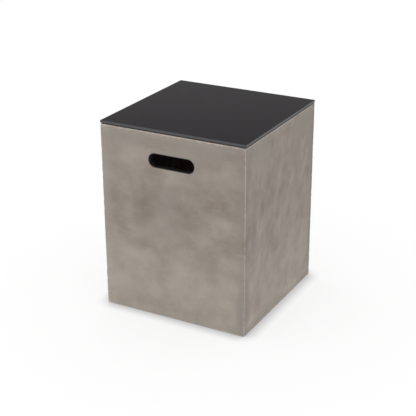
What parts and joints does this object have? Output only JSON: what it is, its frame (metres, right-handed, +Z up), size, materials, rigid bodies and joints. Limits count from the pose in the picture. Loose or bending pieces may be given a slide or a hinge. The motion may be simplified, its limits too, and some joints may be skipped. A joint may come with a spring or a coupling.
{
  "type": "propane tank cover table",
  "caption": "Square cast-concrete patio side table that lifts over an upright gas tank, with hand slots and a lift-off black glass top.",
  "frame": {"origin": "centre of the footprint, on the floor that the feet stand on", "axes": "+Z up, +X to the right along the front, +Y from the front to the back; front and back have the hand slots"},
  "size_m": [0.4064, 0.4064, 0.508],
  "materials": {
    "cast_concrete": "matte",
    "black_glass": "polished",
    "black_abs": "matte",
    "black_rubber": "matte",
    "black_silicone": "satin",
    "black_nylon": "satin",
    "zinc_plated_steel": "satin",
    "turned_brass": "satin"
  },
  "bodies": {
    "cover": {"cast_body": "cast_concrete", "hose_notch_liner": "black_rubber", "slot_liner_front": "black_abs", "slot_liner_back": "black_abs", "glass_pad_front_left": "black_silicone", "glass_pad_front_right": "black_silicone", "glass_pad_back_left": "black_silicone", "glass_pad_back_right": "black_silicone", "foot_insert_front_left": "turned_brass", "foot_insert_front_right": "turned_brass", "foot_insert_back_left": "turned_brass", "foot_insert_back_right": "turned_brass"},
    "lift_off_top": {"glass_top": "black_glass", "glass_locator_front_left": "black_abs", "glass_locator_front_right": "black_abs", "glass_locator_back_left": "black_abs", "glass_locator_back_right": "black_abs"},
    "base_front_left": {"foot_base_front_left": "black_nylon"},
    "stud_front_left": {"foot_stud_front_left": "zinc_plated_steel"},
    "base_front_right": {"foot_base_front_right": "black_nylon"},
    "stud_front_right": {"foot_stud_front_right": "zinc_plated_steel"},
    "base_back_left": {"foot_base_back_left": "black_nylon"},
    "stud_back_left": {"foot_stud_back_left": "zinc_plated_steel"},
    "base_back_right": {"foot_base_back_right": "black_nylon"},
    "stud_back_right": {"foot_stud_back_right": "zinc_plated_steel"}
  },
  "joints": [
    {"name": "top_lift", "type": "slide", "parent": "cover", "child": "lift_off_top", "axis": [0, 0, 1], "range_m": [0, 0.2]},
    {"name": "base_travel_front_left", "type": "slide", "parent": "cover", "child": "base_front_left", "axis": [0, 0, -1], "range_m": [0, 0.01]},
    {"name": "stud_turn_front_left", "type": "hinge", "parent": "base_front_left", "child": "stud_front_left", "pos_m": [-0.1777, -0.1777, 0], "axis": [0, 0, -1], "range_deg": [0, 2880]},
    {"name": "base_travel_front_right", "type": "slide", "parent": "cover", "child": "base_front_right", "axis": [0, 0, -1], "range_m": [0, 0.01]},
    {"name": "stud_turn_front_right", "type": "hinge", "parent": "base_front_right", "child": "stud_front_right", "pos_m": [0.1777, -0.1777, 0], "axis": [0, 0, -1], "range_deg": [0, 2880]},
    {"name": "base_travel_back_left", "type": "slide", "parent": "cover", "child": "base_back_left", "axis": [0, 0, -1], "range_m": [0, 0.01]},
    {"name": "stud_turn_back_left", "type": "hinge", "parent": "base_back_left", "child": "stud_back_left", "pos_m": [-0.1777, 0.1777, 0], "axis": [0, 0, -1], "range_deg": [0, 2880]},
    {"name": "base_travel_back_right", "type": "slide", "parent": "cover", "child": "base_back_right", "axis": [0, 0, -1], "range_m": [0, 0.01]},
    {"name": "stud_turn_back_right", "type": "hinge", "parent": "base_back_right", "child": "stud_back_right", "pos_m": [0.1777, 0.1777, 0], "axis": [0, 0, -1], "range_deg": [0, 2880]}
  ],
  "couplings": [
    {"joint": "base_travel_front_left", "follows": "stud_turn_front_left", "m_per_rad": 0.00019894},
    {"joint": "base_travel_front_right", "follows": "stud_turn_front_right", "m_per_rad": 0.00019894},
    {"joint": "base_travel_back_left", "follows": "stud_turn_back_left", "m_per_rad": 0.00019894},
    {"joint": "base_travel_back_right", "follows": "stud_turn_back_right", "m_per_rad": 0.00019894}
  ]
}
